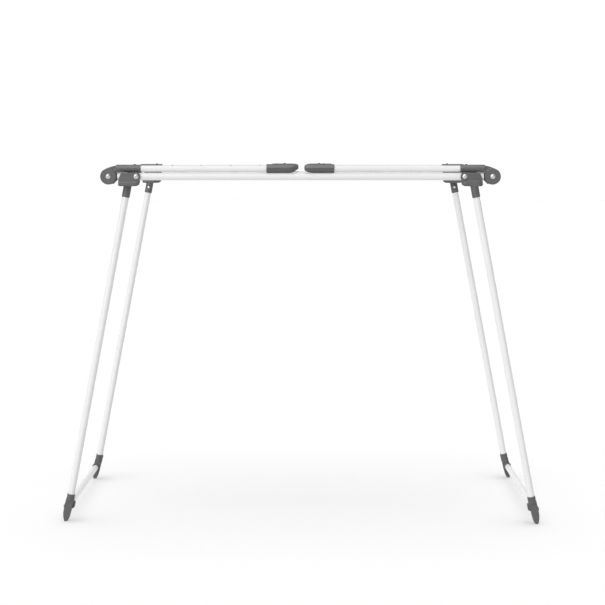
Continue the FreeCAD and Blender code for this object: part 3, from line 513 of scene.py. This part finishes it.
def weld_bead(bm, centre, facing, bar_radius, tube_radius, size, seed):
    """A lumpy bead of weld round a bar that runs along Y into a tube along X.

    centre is on the tube's axis, and facing is the side of the tube that the bar comes from.
    """
    rings = []
    for number in range(BEAD_AROUND):
        angle = 2 * math.pi * number / BEAD_AROUND
        out = Vector((math.cos(angle), 0.0, math.sin(angle)))
        spot = (LUMP_PITCH * out.x + seed, LUMP_STRIDE * seed, LUMP_PITCH * out.z)
        bead = size * (1.0 + LUMP_SHARE * noise.noise(Vector(spot)))
        foot = math.sqrt(max(tube_radius**2 - (bar_radius * out.z) ** 2, 0.0))
        base = centre + out * bar_radius + Vector((0.0, facing * foot, 0.0))
        ring = []
        for step in range(BEAD_ACROSS):
            turn = 2 * math.pi * step / BEAD_ACROSS
            along = Vector((0.0, bead * math.sin(turn), 0.0))
            ring.append(bm.verts.new(base + out * bead * math.cos(turn) + along))
        rings.append(ring)
    for number in range(BEAD_AROUND):
        here, there = rings[number], rings[(number + 1) % BEAD_AROUND]
        for step in range(BEAD_ACROSS):
            after = (step + 1) % BEAD_ACROSS
            bm.faces.new([here[step], there[step], there[after], here[after]])


def make_welds(name, joins, body):
    """One piece for a group's beads: (centre, facing, bar radius, tube radius, size) for each."""
    bm = bmesh.new()
    for number, join in enumerate(joins):
        weld_bead(bm, *join, SEED_STEP * number + FIRST_SEED)
    bmesh.ops.recalc_face_normals(bm, faces=bm.faces)
    new_piece(name, as_mesh(name, bm), body, "white_steel")


def solid_middles(node):
    """The middle of each separate solid in a CAD node, in order along the rack."""
    bm = cad_copy(node)
    left, found = set(bm.verts), []
    while left:
        start = left.pop()
        group, edge = {start}, [start]
        while edge:
            vertex = edge.pop()
            for link in vertex.link_edges:
                other = link.other_vert(vertex)
                if other not in group:
                    group.add(other)
                    edge.append(other)
        left -= group
        spots = [vertex.co for vertex in group]
        low = Vector([min(spot[axis] for spot in spots) for axis in range(3)])
        high = Vector([max(spot[axis] for spot in spots) for axis in range(3)])
        found.append((low + high) / 2)
    bm.free()
    return sorted(found, key=lambda spot: tuple(round(value, PLACE_DIGITS) for value in spot))


def make_frame_welds():
    """The centre rods and the cross tubes are welded to both rails."""
    rod = half_height("centre_rods")
    bars = [(spot, rod, ROD_BEAD) for spot in solid_middles("centre_rods")]
    for side in SIDES:
        node = f"{side}_cross_tube"
        bars.append((middle(node), half_height(node), CROSS_TUBE_BEAD))
    joins = [
        (Vector((spot.x, end * RAIL_Y, spot.z)), -end, radius, RAIL_RADIUS, size)
        for spot, radius, size in bars
        for end in ENDS.values()
    ]
    make_welds("centre_frame_welds", joins, BODY_OF["front_rail"])


def make_wing_welds(side):
    """Each wing's rods are welded at the tube with no grommets."""
    tube = half_height(f"{side}_wing_front_tube")
    rod = half_height(f"{side}_wing_rods")
    welded = 1 if middle(f"{side}_wing_grommets").y < 0 else -1
    joins = [
        (Vector((spot.x, welded * RAIL_Y, spot.z)), -welded, rod, tube, WING_ROD_BEAD)
        for spot in solid_middles(f"{side}_wing_rods")
    ]
    make_welds(f"{side}_wing_welds", joins, BODY_OF[f"{side}_wing_rods"])


make_frame_welds()
for one_side in SIDES:
    make_wing_welds(one_side)

for one_side in SIDES:
    for one_end in ENDS:
        make_elbow(one_side, one_end)
        make_tip(one_side, one_end)
        make_bracket(one_side, one_end)
        # Feet and knuckles have only their edges rounded.
        moulding(f"{one_side}_{one_end}_foot")
        moulding(f"{one_end}_{one_side}_knuckle")


# ---------------------------------------------------------------- stage

FLOOR_REACH = 32.0  # metres from the middle to each side
FLOOR_GREY = (0.325, 0.325, 0.325)
BOUNCE_WHITE = (0.8, 0.8, 0.8)
BOUNCE_DROP = 0.001  # how far it lies under the floor
BOUNCE_GLOW = 0.42
BACKDROP_RADIUS = 50.0
BACKDROP_GLOW = 1.02
WORLD_STRENGTH = 0.55
STAGE_ROUGHNESS = 0.9
WHITE, BLACK = (1.0, 1.0, 1.0), (0.0, 0.0, 0.0)

# Fitted to the photograph's view: about 4.3 m in front, a little above the rails.
CAMERA_PLACE = (0.0339, -4.270, 0.9716)
CAMERA_PITCH, CAMERA_TURN = math.radians(84.58), math.radians(0.406)
CAMERA_LENS, CAMERA_SENSOR = 89.76, 36.0  # millimetres
CAMERA_NEAR, CAMERA_FAR = 0.1, 200.0


def add_sheet(name, height, colour, glow, seen):
    """A level sheet: the floor, which only the camera sees, or the bounce, which only lights."""
    corners = [
        (across * FLOOR_REACH, back * FLOOR_REACH, height)
        for across, back in ((-1, -1), (1, -1), (1, 1), (-1, 1))
    ]
    mesh = bpy.data.meshes.new(name)
    mesh.from_pydata(corners, [], [(0, 1, 2, 3)])
    sheet = as_object(name, mesh)
    n = Nodes(name)
    n.set(Base_Color=colour, Roughness=STAGE_ROUGHNESS, Specular_IOR_Level=0.0)
    n.set(Emission_Color=WHITE, Emission_Strength=glow)
    paint(sheet, n.material)
    sheet.visible_camera = seen
    sheet.visible_diffuse = not seen
    sheet.visible_glossy = not seen
    sheet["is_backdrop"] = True
    return sheet


def add_backdrop():
    """A plain white surround that only the camera sees."""
    bm = bmesh.new()
    bmesh.ops.create_icosphere(bm, subdivisions=3, radius=BACKDROP_RADIUS)
    backdrop = as_object("backdrop", as_mesh("backdrop", bm))
    n = Nodes("backdrop_white")
    n.set(Base_Color=BLACK, Emission_Color=WHITE, Emission_Strength=BACKDROP_GLOW)
    n.set(Specular_IOR_Level=0.0)
    paint(backdrop, n.material)
    backdrop.visible_diffuse = False
    backdrop.visible_glossy = False
    backdrop.visible_shadow = False
    backdrop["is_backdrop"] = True


def add_world():
    world = bpy.data.worlds.new("studio")
    world.use_nodes = True
    background = world.node_tree.nodes["Background"]
    background.inputs["Color"].default_value = (*WHITE, 1.0)
    background.inputs["Strength"].default_value = WORLD_STRENGTH
    bpy.context.scene.world = world


def linked_group(name, objects):
    group = bpy.data.collections.new(name)
    for each in objects:
        group.objects.link(each)
    return group


def add_lamp(name, towards, spread, strength, lights, shadows_of=None):
    """A wide soft sun; towards points from the rack to it, and spread is in degrees.

    It lights these objects only, as a flag does in a studio, and can keep to some shadows.
    """
    sun = bpy.data.lights.new(name, "SUN")
    sun.angle = math.radians(spread)
    sun.energy = strength
    lamp = as_object(name, sun)
    lamp.rotation_euler = Vector(towards).to_track_quat("Z", "Y").to_euler()
    lamp.light_linking.receiver_collection = linked_group(f"{name}_lights", lights)
    if shadows_of:
        shadows = linked_group(f"{name}_shadows", shadows_of)
        lamp.light_linking.blocker_collection = shadows


def add_camera():
    camera = bpy.data.cameras.new("camera")
    camera.lens, camera.sensor_width = CAMERA_LENS, CAMERA_SENSOR
    camera.clip_start, camera.clip_end = CAMERA_NEAR, CAMERA_FAR
    holder = as_object("camera", camera)
    holder.location = CAMERA_PLACE
    holder.rotation_euler = (CAMERA_PITCH, 0.0, CAMERA_TURN)
    bpy.context.scene.camera = holder


floor = add_sheet("floor", 0.0, FLOOR_GREY, glow=0.0, seen=True)
add_sheet("bounce", -BOUNCE_DROP, BOUNCE_WHITE, glow=BOUNCE_GLOW, seen=False)
add_backdrop()
add_world()

rack_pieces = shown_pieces()
bars = [piece for piece in rack_pieces if piece.name.endswith("_crossbar")]
mouldings = [piece for piece in rack_pieces if piece.name.endswith("_moulding")]
high_pieces = [
    piece for piece in rack_pieces if piece not in bars and "_foot" not in piece.name
]
for lamp_settings in (
    # name, towards, spread, strength, what it lights, and what casts its shadows
    ("floor_light", (-0.03, 0.0, 1.0), 46.0, 5.0, [floor], high_pieces),
    ("floor_fill", (-0.03, 0.0, 1.0), 100.0, 3.0, [floor], high_pieces),
    ("overhead", (-0.1, -0.1, 1.0), 60.0, 0.7, rack_pieces),
    ("key", (-0.55, -0.8, 0.45), 60.0, 1.65, rack_pieces),
    ("top", (-0.2, -0.6, 1.0), 60.0, 1.4, mouldings),
    ("low_fill_left", (-1.0, 0.0, 0.6), 120.0, 0.8, bars),
    ("low_fill_right", (1.0, 0.0, 0.6), 120.0, 0.8, bars),
):
    add_lamp(*lamp_settings)
add_camera()
bpy.context.scene.view_settings.view_transform = "Standard"
